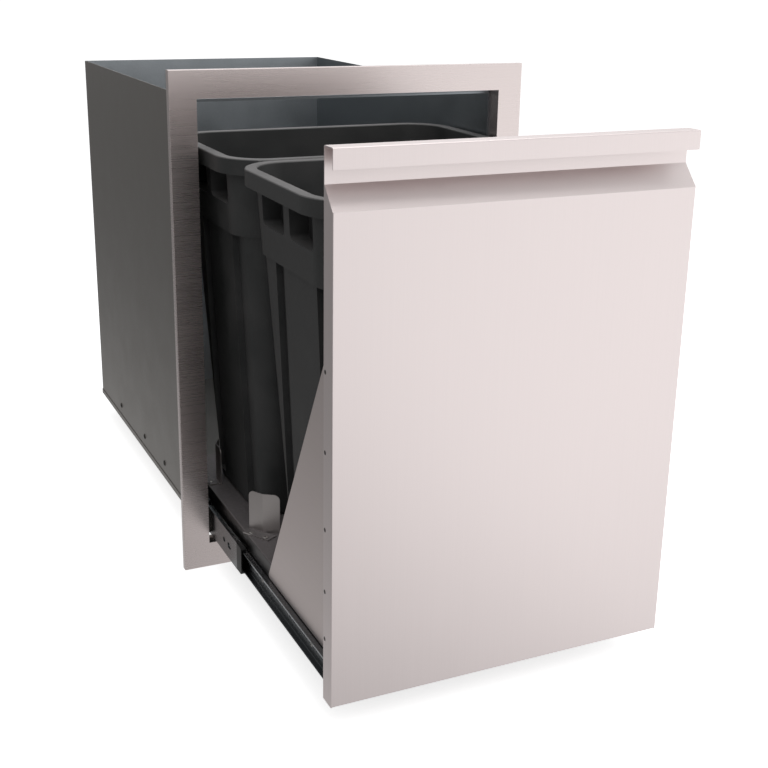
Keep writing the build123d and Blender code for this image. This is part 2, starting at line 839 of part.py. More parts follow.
with BuildPart() as bin_body:
    add(tapered(0, 0, bin_height - rim_sheet))
    fillet(bin_body.faces().sort_by(Axis.Z)[0].edges(), radius=base_edge)
    add(tapered(shoulder_step, bin_shoulder_z, bin_height - rim_sheet))
    add(grooves(groove_depth, 0), mode=Mode.SUBTRACT)
    add(pockets(pocket_depth, 0), mode=Mode.SUBTRACT)
    with BuildSketch(Plane.XY.offset(bin_height)):
        RectangleRounded(rim_width, rim_depth, rim_corner)
    extrude(amount=-rim_sheet)
    with BuildSketch(Plane.XY.offset(bin_height)):
        RectangleRounded(rim_width, rim_depth, rim_corner)
        RectangleRounded(
            rim_width - 2 * rim_sheet,
            rim_depth - 2 * rim_sheet,
            rim_corner - rim_sheet,
            mode=Mode.SUBTRACT,
        )
    extrude(amount=-skirt_height)
    add(cavity.part, mode=Mode.SUBTRACT)
    fillet(bin_body.faces().sort_by(Axis.Z)[-1].edges(), radius=rim_arris)

for label, y in (("front_bin", front_bin_y), ("rear_bin", rear_bin_y)):
    save(bin_body.part.moved(Location((0, y, tray_z + bin_seat))), label)
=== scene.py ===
# %% [markdown]
# This lesson dresses a built-in pull-out waste drawer: a steel face frame with an open-topped
# housing behind it, and a drawer with two plastic bins that rolls out on telescopic slides.
# Every rigid part comes finished from the construction model, so the first cell only loads it
# and keeps the size of its box, which the looks must never outgrow.

import json
import math

import bmesh
import bpy
from mathutils import Matrix, Vector


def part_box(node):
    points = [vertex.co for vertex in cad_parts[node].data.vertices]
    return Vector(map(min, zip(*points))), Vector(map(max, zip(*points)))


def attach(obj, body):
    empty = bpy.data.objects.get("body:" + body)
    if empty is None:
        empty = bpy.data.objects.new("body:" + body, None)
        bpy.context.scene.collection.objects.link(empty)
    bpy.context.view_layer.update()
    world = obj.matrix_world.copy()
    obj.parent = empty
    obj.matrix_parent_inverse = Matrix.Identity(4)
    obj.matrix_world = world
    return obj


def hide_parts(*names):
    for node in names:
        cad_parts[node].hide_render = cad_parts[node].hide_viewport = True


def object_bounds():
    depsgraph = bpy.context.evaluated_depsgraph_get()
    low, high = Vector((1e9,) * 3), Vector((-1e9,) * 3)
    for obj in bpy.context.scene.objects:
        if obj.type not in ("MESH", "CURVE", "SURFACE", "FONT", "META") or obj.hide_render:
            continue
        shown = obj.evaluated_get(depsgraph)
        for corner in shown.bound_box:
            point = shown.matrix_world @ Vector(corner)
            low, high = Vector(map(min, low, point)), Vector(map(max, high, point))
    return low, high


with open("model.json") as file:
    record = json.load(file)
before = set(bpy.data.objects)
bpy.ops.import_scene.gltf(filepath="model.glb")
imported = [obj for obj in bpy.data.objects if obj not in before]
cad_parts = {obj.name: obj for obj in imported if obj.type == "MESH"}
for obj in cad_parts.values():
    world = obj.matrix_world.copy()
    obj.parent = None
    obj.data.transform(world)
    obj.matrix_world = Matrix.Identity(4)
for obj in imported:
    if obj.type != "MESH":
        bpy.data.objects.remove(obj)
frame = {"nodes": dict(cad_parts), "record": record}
cad_box = [list(corner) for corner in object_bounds()]
nodes = frame["nodes"]
print("box in metres:", [[round(v, 4) for v in corner] for corner in cad_box])

# %% [markdown]
# Materials are node trees. Two helpers keep them short to read: one turns a colour as a
# designer writes it, a hex value, into the linear numbers that the renderer works with, and one
# adds any node together with its settings and its links.

# %% Helpers for materials
MM = 0.001


def linear(hex_colour):
    """A colour written in sRGB hex as linear RGBA."""
    values = [int(hex_colour[i:i + 2], 16) / 255 for i in (1, 3, 5)]
    return [v / 12.92 if v <= 0.04045 else ((v + 0.055) / 1.055) ** 2.4 for v in values] + [1.0]


def add_node(tree, kind, settings=None, **links):
    """Add a node; settings are its properties, links its inputs by name: a value or a socket."""
    node = tree.nodes.new(kind)
    for name, value in (settings or {}).items():
        setattr(node, name, value)
    for name, value in links.items():
        numbered = name[0] == "i" and name[1:].isdigit()
        socket = node.inputs[int(name[1:]) if numbered else name.replace("_", " ")]
        if isinstance(value, bpy.types.NodeSocket):
            tree.links.new(value, socket)
        else:
            socket.default_value = value
    return node


def new_material(name):
    """An empty material with its output node, and its tree."""
    material = bpy.data.materials.new(name)
    material.use_nodes = True
    material.node_tree.nodes.clear()
    return material, material.node_tree


# %% [markdown]
# Most of the drawer is stainless sheet. Its finish is made on a belt: fine parallel scratches
# that spread a highlight across the grain and keep it crisp along it. Noise stretched a few
# hundred times along the grain gives those scratches, and the same noise, much coarser, gives
# the faint clouding that handled steel always has. The real grit is far too fine to show, so
# the grain is drawn as lines about a millimetre apart, and only just strong enough to see.

# %% Brushed stainless steel
def brushed_steel(name, dark, light, roughness, grain_axis, grain_mm=0.9, depth=0.05):
    """Belt-ground sheet: grain runs along one axis, 0 for X, 1 for Y and 2 for Z."""
    material, tree = new_material(name)
    place = add_node(tree, "ShaderNodeTexCoord")
    across = 1 / (grain_mm * MM)
    scales = [across, across, across]
    scales[grain_axis] = across / 200
    stretch = add_node(tree, "ShaderNodeMapping", Vector=place.outputs["Object"], Scale=scales)
    grain = add_node(
        tree, "ShaderNodeTexNoise", Vector=stretch.outputs[0], Scale=1.0, Detail=2.0, Roughness=0.5
    )
    cloud = add_node(
        tree, "ShaderNodeTexNoise", Vector=place.outputs["Object"], Scale=1 / (180 * MM), Detail=2.0
    )
    both = add_node(
        tree, "ShaderNodeMix", {"data_type": "FLOAT"}, i0=0.5, i2=grain.outputs[0], i3=cloud.outputs[0]
    )
    tint = add_node(tree, "ShaderNodeValToRGB", i0=both.outputs[0])
    tint.color_ramp.elements[0].position = 0.3
    tint.color_ramp.elements[0].color = linear(dark)
    tint.color_ramp.elements[1].position = 0.7
    tint.color_ramp.elements[1].color = linear(light)
    gloss = add_node(
        tree, "ShaderNodeMapRange", Value=both.outputs[0], i1=0.3, i2=0.7, i3=roughness - 0.03,
        i4=roughness + 0.03
    )
    bump = add_node(
        tree, "ShaderNodeBump", Strength=depth, Distance=0.02 * MM, Height=grain.outputs[0]
    )
    shader = add_node(
        tree, "ShaderNodeBsdfPrincipled", Base_Color=tint.outputs[0], Metallic=1.0,
        Roughness=gloss.outputs[0], Normal=bump.outputs[0]
    )
    add_node(tree, "ShaderNodeOutputMaterial", Surface=shader.outputs[0])
    return material


front_steel = brushed_steel("stainless_steel_brushed_upright", "#DFD5D4", "#E3D9D8", 0.44, 2)
frame_steel = brushed_steel(
    "stainless_steel_brushed_level", "#D3C8C6", "#D8CDCB", 0.28, 0, grain_mm=0.7, depth=0.02
)
liner_steel = brushed_steel("stainless_sheet_back", "#DDD6D3", "#E4DDDA", 0.55, 0)
gusset_steel = brushed_steel("stainless_sheet_satin", "#D2C7C4", "#D9CECC", 0.42, 1)
print("steel finishes made:", len(bpy.data.materials))

# %% [markdown]
# The housing is plain steel sheet as it left the rolling mill: no belt marks, a soft sheen and a
# cloudy grey. Here two scales of plain noise do it, one a few centimetres across for the clouds and
# one of a few millimetres for the skin's fine spangle. The housing's one sheet is made in three tones
# that stand for how light falls on each wall: a darker, warmer copy is painted shade on the left wall
# and the floor, a paler copy is painted light on the back, and a cool copy goes on the rest.

# %% Mill-finish sheet
def mill_sheet(name, dark, light, roughness, spangle_mm=2.5, cloud_mm=45.0):
    """Cold-rolled sheet: clouded colour and gloss, with a fine spangle and no direction."""
    material, tree = new_material(name)
    place = add_node(tree, "ShaderNodeTexCoord")
    spangle = add_node(
        tree, "ShaderNodeTexNoise", Vector=place.outputs["Object"], Scale=1 / (spangle_mm * MM),
        Detail=3.0
    )
    cloud = add_node(
        tree, "ShaderNodeTexNoise", Vector=place.outputs["Object"], Scale=1 / (cloud_mm * MM),
        Detail=3.0
    )
    both = add_node(
        tree, "ShaderNodeMix", {"data_type": "FLOAT"}, i0=0.5, i2=spangle.outputs[0],
        i3=cloud.outputs[0]
    )
    tint = add_node(tree, "ShaderNodeValToRGB", i0=both.outputs[0])
    tint.color_ramp.elements[0].position = 0.32
    tint.color_ramp.elements[0].color = linear(dark)
    tint.color_ramp.elements[1].position = 0.68
    tint.color_ramp.elements[1].color = linear(light)
    gloss = add_node(
        tree, "ShaderNodeMapRange", Value=both.outputs[0], i1=0.32, i2=0.68, i3=roughness - 0.05,
        i4=roughness + 0.05
    )
    bump = add_node(
        tree, "ShaderNodeBump", Strength=0.08, Distance=0.03 * MM, Height=spangle.outputs[0]
    )
    shader = add_node(
        tree, "ShaderNodeBsdfPrincipled", Base_Color=tint.outputs[0], Metallic=1.0,
        Roughness=gloss.outputs[0], Normal=bump.outputs[0]
    )
    add_node(tree, "ShaderNodeOutputMaterial", Surface=shader.outputs[0])
    return material


# The first three are one housing sheet in three tones: painted shade on the left wall and floor,
# painted light on the back.
housing_sheet_painted_shade = mill_sheet("steel_sheet_mill_finish_painted_shade", "#817D79", "#888480", 0.42)
inner_sheet = mill_sheet("steel_sheet_mill_finish_cool", "#858A8E", "#8F9498", 0.38)
housing_sheet_painted_light = mill_sheet("steel_sheet_mill_finish_painted_light", "#AEB5BA", "#B8BEC3", 0.42)
slide_zinc = mill_sheet("steel_zinc_plated_dull", "#6B6D6E", "#7A7C7D", 0.26, 1.5, 12.0)
fastener_zinc = mill_sheet("steel_zinc_plated_turned", "#8E8C8A", "#A6A4A1", 0.30, 1.0, 6.0)
screw_dark = mill_sheet("steel_dark_plated", "#3A3836", "#4C4946", 0.28, 1.0, 6.0)
screw_black = mill_sheet("steel_blackened", "#2C2726", "#4A4341", 0.42, 1.0, 6.0)
print("sheet finishes made:", len(bpy.data.materials))

# %% [markdown]
# The tray under the bins is the same kind of sheet, but bins are pushed over it for years, so it holds
# scuffs in uneven patches and some dust. Its edges and flanges stay dark and smooth. What faces up
# takes a second, duller tone, which is partly scuffs and dust and partly painted light and shade: the
# tray's top is painted pale as painted light, and the guides' feet and top edges are painted darker as
# painted shade. So this finish turns from metal towards that tone as far as the surface faces up.

# %% Sheet with scuffs, and painted light and shade on what faces up
def scuffed_sheet_painted_by_facing(name, edge, top_scuffs_and_painted_tone, roughness, scuff_mm=5.0):
    """Dark sheet whose upward faces are worn pale and dull in uneven patches."""
    # Sheet whose upward faces take a second, duller tone in uneven scuff patches: light and shade
    # painted by facing, together with real scuffs.
    material, tree = new_material(name)
    place = add_node(tree, "ShaderNodeTexCoord")
    facing = add_node(tree, "ShaderNodeNewGeometry")
    scuffs = add_node(
        tree, "ShaderNodeTexNoise", Vector=place.outputs["Object"], Scale=1 / (scuff_mm * MM),
        Detail=5.0
    )
    slope = add_node(tree, "ShaderNodeSeparateXYZ", Vector=facing.outputs["Normal"])
    upward = add_node(
        tree, "ShaderNodeMapRange", Value=slope.outputs["Z"], i1=0.4, i2=1.0, i3=0.0, i4=1.0
    )
    patches = add_node(
        tree, "ShaderNodeMapRange", Value=scuffs.outputs[0], i1=0.3, i2=0.7, i3=0.75, i4=1.0
    )
    # Painted light and shade: how far the surface faces up, broken into scuff patches, picks the top
    # tone.
    worn_and_painted_top = add_node(
        tree, "ShaderNodeMath", {"operation": "MULTIPLY"}, i0=upward.outputs[0], i1=patches.outputs[0]
    )
    tint = add_node(
        tree, "ShaderNodeMix", {"data_type": "RGBA"}, i0=worn_and_painted_top.outputs[0], i6=linear(edge),
        i7=linear(top_scuffs_and_painted_tone)
    )
    metal = add_node(
        tree, "ShaderNodeMapRange", Value=worn_and_painted_top.outputs[0], i1=0.0, i2=1.0, i3=1.0, i4=0.35
    )
    gloss = add_node(
        tree, "ShaderNodeMapRange", Value=worn_and_painted_top.outputs[0], i1=0.0, i2=1.0, i3=roughness, i4=0.55
    )
    bump = add_node(
        tree, "ShaderNodeBump", Strength=0.1, Distance=0.02 * MM, Height=scuffs.outputs[0]
    )
    shader = add_node(
        tree, "ShaderNodeBsdfPrincipled", Base_Color=tint.outputs[2], Metallic=metal.outputs[0],
        Roughness=gloss.outputs[0], Normal=bump.outputs[0]
    )
    add_node(tree, "ShaderNodeOutputMaterial", Surface=shader.outputs[0])
    return material


# The tray's pale top is painted light, partly dust and scuffs; the guides' darker top is painted
# shade.
tray_steel = scuffed_sheet_painted_by_facing("steel_sheet_scuffs_top_painted_light", "#4A4747", "#787374", 0.35)
guide_steel = scuffed_sheet_painted_by_facing("steel_plate_scuffs_top_painted_shade", "#B2ACAA", "#6E6A6B", 0.38)
print("scuffed finishes:", tray_steel.name, guide_steel.name)

# %% [markdown]
# The slides' inner members are rolled from dull zinc-plated strip. Along the channel a narrow band is
# painted near white: a painted highlight that stands in for the light that the rolled race reflects.
# The pattern knows where it is from the member's own height, so the band runs the whole length and
# moves with the member. A bump crowns it, as the rolled race is, so that its upper side catches the
# light from above.

# %% Rail with a painted highlight along its track
def tracked_rail(name, dull, bright, roughness, track_height, track_mm, track_rise_mm):
    """Dull plated strip with a painted highlight: one bright band along Y at a given height."""
    material, tree = new_material(name)
    place = add_node(tree, "ShaderNodeTexCoord")
    parts = add_node(tree, "ShaderNodeSeparateXYZ", Vector=place.outputs["Object"])
    away = add_node(
        tree, "ShaderNodeMath", {"operation": "SUBTRACT"}, i0=parts.outputs["Z"], i1=track_height
    )
    distance = add_node(tree, "ShaderNodeMath", {"operation": "ABSOLUTE"}, i0=away.outputs[0])
    blotches = add_node(
        tree, "ShaderNodeTexNoise", Vector=place.outputs["Object"], Scale=1 / (6.0 * MM), Detail=3.0
    )
    # The painted highlight: a near-white band in the colour, standing in for reflected light.
    painted_highlight_band = add_node(
        tree, "ShaderNodeMapRange", Value=distance.outputs[0], i1=0.25 * track_mm * MM,
        i2=0.5 * track_mm * MM, i3=1.0, i4=0.0
    )
    crown = add_node(
        tree, "ShaderNodeMapRange", Value=distance.outputs[0], i1=0.0, i2=0.5 * track_mm * MM,
        i3=1.0, i4=0.0
    )
    bump = add_node(
        tree, "ShaderNodeBump", Strength=1.0, Distance=track_rise_mm * MM, Height=crown.outputs[0]
    )
    tint = add_node(
        tree, "ShaderNodeMix", {"data_type": "RGBA"}, i0=painted_highlight_band.outputs[0], i6=linear(dull),
        i7=linear(bright)
    )
    gloss = add_node(
        tree, "ShaderNodeMapRange", Value=blotches.outputs[0], i1=0.3, i2=0.7,
        i3=roughness - 0.04, i4=roughness + 0.06
    )
    shader = add_node(
        tree, "ShaderNodeBsdfPrincipled", Base_Color=tint.outputs[2], Metallic=1.0,
        Roughness=gloss.outputs[0], Normal=bump.outputs[0]
    )
    add_node(tree, "ShaderNodeOutputMaterial", Surface=shader.outputs[0])
    return material


inner_low, inner_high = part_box("slide_inner_left")
track_drop = 0.47              # of the member's height, below its upper edge
track_height = inner_high[2] - track_drop * (inner_high[2] - inner_low[2])
# The bright colour here is a painted highlight along the track.
rail_zinc = tracked_rail(
    "steel_zinc_plated_painted_highlight", "#5E6163", "#F2F4F7", 0.28, track_height, track_mm=5.0,
    track_rise_mm=2.0
)
print(f"bright track at z = {track_height / MM:.1f} mm")

# %% [markdown]
# The bins are injection-moulded polypropylene: nearly black, with a fine spark-eroded texture that
# breaks a highlight into a soft sheen. What faces up is greyer, above all the rims: partly dust and
# rubbing, and partly painted light from above, so the colour also follows how far the surface faces
# up. The blocks on the slides' ends are moulded too, in black acetal, smoother and a little glossier.

# %% Moulded plastics
def moulded_plastic(name, dark, light, dust_and_painted_light, roughness, texture_mm, relief):
    """Textured moulding: fine grain in the relief, slow variation in colour, greyer on top from dust
    and painted light.
    """
    material, tree = new_material(name)
    place = add_node(tree, "ShaderNodeTexCoord")
    facing = add_node(tree, "ShaderNodeNewGeometry")
    skin = add_node(
        tree, "ShaderNodeTexNoise", Vector=place.outputs["Object"], Scale=1 / (texture_mm * MM),
        Detail=2.0
    )
    cloud = add_node(
        tree, "ShaderNodeTexNoise", Vector=place.outputs["Object"], Scale=1 / (60 * MM), Detail=4.0
    )
    tint = add_node(tree, "ShaderNodeValToRGB", i0=cloud.outputs[0])
    tint.color_ramp.elements[0].position = 0.35
    tint.color_ramp.elements[0].color = linear(dark)
    tint.color_ramp.elements[1].position = 0.65
    tint.color_ramp.elements[1].color = linear(light)
    slope = add_node(tree, "ShaderNodeSeparateXYZ", Vector=facing.outputs["Normal"])
    upward = add_node(
        tree, "ShaderNodeMapRange", Value=slope.outputs["Z"], i1=0.3, i2=1.0, i3=0.0, i4=1.0
    )
    # Greyer on top: dust, and painted light from above.
    worn_and_painted_top = add_node(
        tree, "ShaderNodeMix", {"data_type": "RGBA"}, i0=upward.outputs[0], i6=tint.outputs[0],
        i7=linear(dust_and_painted_light)
    )
    gloss = add_node(
        tree, "ShaderNodeMapRange", Value=cloud.outputs[0], i1=0.35, i2=0.65, i3=roughness - 0.05,
        i4=roughness + 0.07
    )
    bump = add_node(
        tree, "ShaderNodeBump", Strength=relief, Distance=0.05 * MM, Height=skin.outputs[0]
    )
    shader = add_node(
        tree, "ShaderNodeBsdfPrincipled", Base_Color=worn_and_painted_top.outputs[2], IOR=1.49,
        Specular_IOR_Level=0.25, Roughness=gloss.outputs[0], Normal=bump.outputs[0]
    )
    add_node(tree, "ShaderNodeOutputMaterial", Surface=shader.outputs[0])
    return material


# The third colour is the upward faces' grey: dust and painted light.
bin_plastic = moulded_plastic(
    "polypropylene_moulded_black", "#303131", "#393939", "#626161", 0.50, 1.2, 0.2
)
block_plastic = moulded_plastic(
    "acetal_moulded_black", "#101010", "#181818", "#262626", 0.40, 0.8, 0.1
)

# %% [markdown]
# The construction model's nodes already have the right shape, so most of them only need the
# right finish. Each node keeps its mesh, and its material slot gets one of the finishes above.
# A few nodes get a finish by name: some come from another sheet than their slot says, and the
# housing's left wall and floor get the darker copy of its sheet as painted shade, and its back the
# paler copy as painted light.

# %% Dress the construction nodes
finish_of_slot = {
    "frame_steel": frame_steel,
    "housing_steel": inner_sheet,
    "tray_steel": gusset_steel,
    "slide_steel": slide_zinc,
    "fastener_steel": fastener_zinc,
    "dark_screw": screw_black,
    "block_plastic": block_plastic,
    "bin_plastic": bin_plastic,
}
finish_of_node = {
    "drawer_front": front_steel,
    "drawer_liner": liner_steel,
    # Painted shade on the left wall and floor, painted light on the back: darker and paler copies of
    # one sheet.
    "housing_wall_left": housing_sheet_painted_shade,
    "housing_floor": housing_sheet_painted_shade,
    "tray": tray_steel,
    "housing_back": housing_sheet_painted_light,
}
for side in ("left", "right"):
    for row in ("front", "middle", "rear"):
        finish_of_node[f"guide_{row}_{side}"] = guide_steel
    finish_of_node[f"slide_inner_{side}"] = rail_zinc
slot_of_node = {entry["node"]: entry["material_slot"] for entry in frame["record"]["subparts"]}
for name, node in nodes.items():
    finish = finish_of_node.get(name, finish_of_slot[slot_of_node[name]])
    node.data.materials.clear()
    node.data.materials.append(finish)
print("dressed:", len(nodes), "nodes")

# %% [markdown]
# A strip joins the housing's walls behind the top of the frame. Its front edge is turned down
# only a little, so that nothing of it hangs into the opening. It is one sheet profile, bent with
# a small radius, that runs from wall to wall: the profile's outline is worked out as a list of
# points and then pushed along X.

# %% Strip behind the top of the frame
def bent_profile(depth, fold, sheet, radius, steps=5):
    """Outline of an angle profile in Y and Z, from its corner at the upper front."""
    outer = [
        (radius - radius * math.sin(turn), -radius + radius * math.cos(turn))
        for turn in (math.pi / 2 * k / steps for k in range(steps + 1))
    ]
    inner = [
        (radius - (radius - sheet) * math.sin(turn), -radius + (radius - sheet) * math.cos(turn))
        for turn in (math.pi / 2 * k / steps for k in range(steps, -1, -1))
    ]
    return [(depth, 0.0)] + outer + [(0.0, -fold), (sheet, -fold)] + inner + [(depth, -sheet)]


def pushed(name, outline, start, length):
    """A solid whose outline in Y and Z is pushed along X."""
    shape = bmesh.new()
    face = shape.faces.new([shape.verts.new(start + Vector((0, y, z))) for y, z in outline])
    far = bmesh.ops.extrude_face_region(shape, geom=[face])["geom"]
    moved = [item for item in far if isinstance(item, bmesh.types.BMVert)]
    bmesh.ops.translate(shape, verts=moved, vec=(length, 0, 0))
    bmesh.ops.recalc_face_normals(shape, faces=shape.faces)
    mesh = bpy.data.meshes.new(name)
    shape.to_mesh(mesh)
    shape.free()
    piece = bpy.data.objects.new(name, mesh)
    bpy.context.scene.collection.objects.link(piece)
    return piece


strip_fold = 4.0 * MM          # the construction model's own fold is deeper
strip_sheet = 1.0 * MM
strip_bend = 1.5 * MM
strip_low, strip_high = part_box("housing_top_rail")
strip_profile = bent_profile(strip_high[1] - strip_low[1], strip_fold, strip_sheet, strip_bend)
strip = pushed(
    "top_strip", strip_profile, Vector((strip_low[0], strip_low[1], strip_high[2])),
    strip_high[0] - strip_low[0]
)
strip.data.materials.append(inner_sheet)
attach(strip, "cabinet")
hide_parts("housing_top_rail")
print("strip's profile has", len(strip_profile), "points")

# %% [markdown]
# Screws and rivets repeat, so Geometry Nodes make them. Each row starts as bare points, one
# where each head lies on the sheet, with the direction that the head faces. The points come from
# the construction model: every fastener there is a separate solid, and its box says where its
# head is.

# %% Where the fasteners are
def solid_boxes(node):
    """Lowest and highest corner of every separate solid in a node."""
    copy = bmesh.new()
    copy.from_mesh(node.data)
    bmesh.ops.remove_doubles(copy, verts=copy.verts, dist=0.01 * MM)
    boxes = []
    unseen = set(copy.verts)
    while unseen:
        start = unseen.pop()
        found = [start]
        for vertex in found:
            for edge in vertex.link_edges:
                other = edge.other_vert(vertex)
                if other in unseen:
                    unseen.discard(other)
                    found.append(other)
        corners = [tuple(vertex.co) for vertex in found]
        low = Vector([min(axis) for axis in zip(*corners)])
        high = Vector([max(axis) for axis in zip(*corners)])
        boxes.append((low, high))
    copy.free()
    return boxes


def crown_points(node, direction):
    """The middle of each fastener's outermost face, in a given direction."""
    direction = Vector(direction)
    points = []
    for low, high in solid_boxes(node):
        middle = (low + high) / 2
        reach = abs((high - low).dot(direction)) / 2
        points.append(middle + direction * reach)
    return points


screw_points = crown_points(nodes["slide_screws_left"], (-1, 0, 0))
print("screws on the left wall at", [[round(v, 3) for v in point] for point in screw_points])

# %% [markdown]
# One tree makes every kind of head. A low dome comes from a sphere whose lower half is pressed
# flat, a recess is cut from its crown, and a straight shank goes down through the sheet. A
# screw's recess is a cross made of two thin boxes; a blind rivet's is the round hole that its
# broken pin leaves. The tree ends with real meshes in place of instances and with the material.

# %% The fastener tree
def tree_input(tree, name, kind, default=None):
    """Add a named input to a node group."""
    socket = tree.interface.new_socket(name, in_out="INPUT", socket_type=kind)
    if default is not None:
        socket.default_value = default
    return socket


def fastener_tree(name, cross):
    """Instance a domed head with a cross or a round recess on every point."""
    tree = bpy.data.node_groups.new(name, "GeometryNodeTree")
    tree_input(tree, "Points", "NodeSocketGeometry")
    tree_input(tree, "Head Radius", "NodeSocketFloat", 4.6 * MM)
    tree_input(tree, "Head Height", "NodeSocketFloat", 2.2 * MM)
    tree_input(tree, "Shank Radius", "NodeSocketFloat", 2.0 * MM)
    tree_input(tree, "Shank Length", "NodeSocketFloat", 2.2 * MM)
    tree_input(tree, "Recess Width", "NodeSocketFloat", 0.9 * MM)
    tree_input(tree, "Direction", "NodeSocketVector", (0.0, 0.0, 1.0))
    tree_input(tree, "Seed", "NodeSocketInt", 1)
    tree_input(tree, "Finish", "NodeSocketMaterial")
    tree.interface.new_socket("Fasteners", in_out="OUTPUT", socket_type="NodeSocketGeometry")
    given = add_node(tree, "NodeGroupInput")
    radius, height = given.outputs["Head Radius"], given.outputs["Head Height"]
    ball = add_node(tree, "GeometryNodeMeshUVSphere", Segments=20, Rings=12, Radius=1.0)
    where = add_node(tree, "GeometryNodeInputPosition")
    parts = add_node(tree, "ShaderNodeSeparateXYZ", Vector=where.outputs[0])
    lifted = add_node(
        tree, "ShaderNodeMath", {"operation": "MAXIMUM"}, i0=parts.outputs["Z"], i1=0.0
    )
    sized = [
        add_node(tree, "ShaderNodeMath", {"operation": "MULTIPLY"}, i0=value, i1=size).outputs[0]
        for value, size in (
            (parts.outputs["X"], radius), (parts.outputs["Y"], radius), (lifted.outputs[0], height)
        )
    ]
    pressed = add_node(tree, "ShaderNodeCombineXYZ", i0=sized[0], i1=sized[1], i2=sized[2])
    dome = add_node(
        tree, "GeometryNodeSetPosition", Geometry=ball.outputs["Mesh"], Position=pressed.outputs[0]
    )
    top = add_node(tree, "ShaderNodeCombineXYZ", Z=height)
    if cross:
        bars = add_node(tree, "GeometryNodeJoinGeometry")
        for turned in (False, True):
            long_way = add_node(
                tree, "ShaderNodeMath", {"operation": "MULTIPLY"}, i0=radius, i1=1.1
            )
            across = given.outputs["Recess Width"]
            first, second = (across, long_way.outputs[0]) if turned else (long_way.outputs[0], across)
            size = add_node(tree, "ShaderNodeCombineXYZ", i0=first, i1=second, i2=height)
            bar = add_node(tree, "GeometryNodeMeshCube", Size=size.outputs[0])
            tree.links.new(bar.outputs["Mesh"], bars.inputs[0])
        recess = bars.outputs[0]
    else:
        hole = add_node(
            tree, "GeometryNodeMeshCylinder", Vertices=12, Radius=given.outputs["Recess Width"],
            Depth=height
        )
        recess = hole.outputs["Mesh"]
    sunk = add_node(tree, "GeometryNodeTransform", Geometry=recess, Translation=top.outputs[0])
    head = add_node(
        tree, "GeometryNodeMeshBoolean", {"operation": "DIFFERENCE"}, i0=dome.outputs[0],
        i1=sunk.outputs[0]
    )
    shank = add_node(
        tree, "GeometryNodeMeshCylinder", Vertices=16, Radius=given.outputs["Shank Radius"],
        Depth=given.outputs["Shank Length"]
    )
    half_down = add_node(
        tree, "ShaderNodeMath", {"operation": "MULTIPLY"}, i0=given.outputs["Shank Length"], i1=-0.5
    )
    below = add_node(tree, "ShaderNodeCombineXYZ", Z=half_down.outputs[0])
    stem = add_node(
        tree, "GeometryNodeTransform", Geometry=shank.outputs["Mesh"], Translation=below.outputs[0]
    )
    whole = add_node(tree, "GeometryNodeJoinGeometry")
    tree.links.new(head.outputs["Mesh"], whole.inputs[0])
    tree.links.new(stem.outputs[0], whole.inputs[0])
    spin = add_node(
        tree, "FunctionNodeRandomValue", {"data_type": "FLOAT"}, Min=0.0, Max=math.pi,
        Seed=given.outputs["Seed"]
    )
    spin_turn = add_node(
        tree, "FunctionNodeAxisAngleToRotation", Axis=(0, 0, 1), Angle=spin.outputs[1]
    )
    aimed = add_node(
        tree, "FunctionNodeAlignRotationToVector", {"axis": "Z"}, Vector=given.outputs["Direction"]
    )
    turned = add_node(
        tree, "FunctionNodeRotateRotation", {"rotation_space": "LOCAL"}, i0=aimed.outputs[0],
        i1=spin_turn.outputs[0]
    )
    row = add_node(
        tree, "GeometryNodeInstanceOnPoints", Points=given.outputs["Points"],
        Instance=whole.outputs[0], Rotation=turned.outputs[0]
    )
    real = add_node(tree, "GeometryNodeRealizeInstances", Geometry=row.outputs[0])
    painted = add_node(
        tree, "GeometryNodeSetMaterial", Geometry=real.outputs[0], Material=given.outputs["Finish"]
    )
    add_node(tree, "NodeGroupOutput", i0=painted.outputs[0])
    return tree


screw_tree = fastener_tree("cross_recess_screws", True)
rivet_tree = fastener_tree("blind_rivets", False)
print("fastener trees:", len(screw_tree.nodes), "and", len(rivet_tree.nodes), "nodes")

# %% [markdown]
# A row of fasteners is an object whose mesh is only points, with the tree as its modifier. The
# tree's result is read back as a plain mesh, so the finished piece carries no modifier, and it
# takes the place of the construction model's plain row.

# %% Rows of fasteners
def fastener_row(name, node, direction, tree, sizes, body):
    """Replace a node's plain fasteners with detailed ones at the same places."""
    aim = Vector(direction)
    seats = [point - aim * sizes["Head Height"] for point in crown_points(nodes[node], aim)]
    mesh = bpy.data.meshes.new(name)
    mesh.from_pydata([tuple(seat) for seat in seats], [], [])
    start = bpy.data.objects.new(name, mesh)
    bpy.context.scene.collection.objects.link(start)
    modifier = start.modifiers.new("fasteners", "NODES")
    modifier.node_group = tree
    values = dict(sizes, Direction=direction)
    for item in tree.interface.items_tree:
        if item.item_type == "SOCKET" and item.in_out == "INPUT" and item.name in values:
            modifier[item.identifier] = values[item.name]
    graph = bpy.context.evaluated_depsgraph_get()
    made = bpy.data.meshes.new_from_object(start.evaluated_get(graph))
    start.modifiers.remove(modifier)
    start.data = made
    start.data.name = name
    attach(start, body)
    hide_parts(node)
    return start


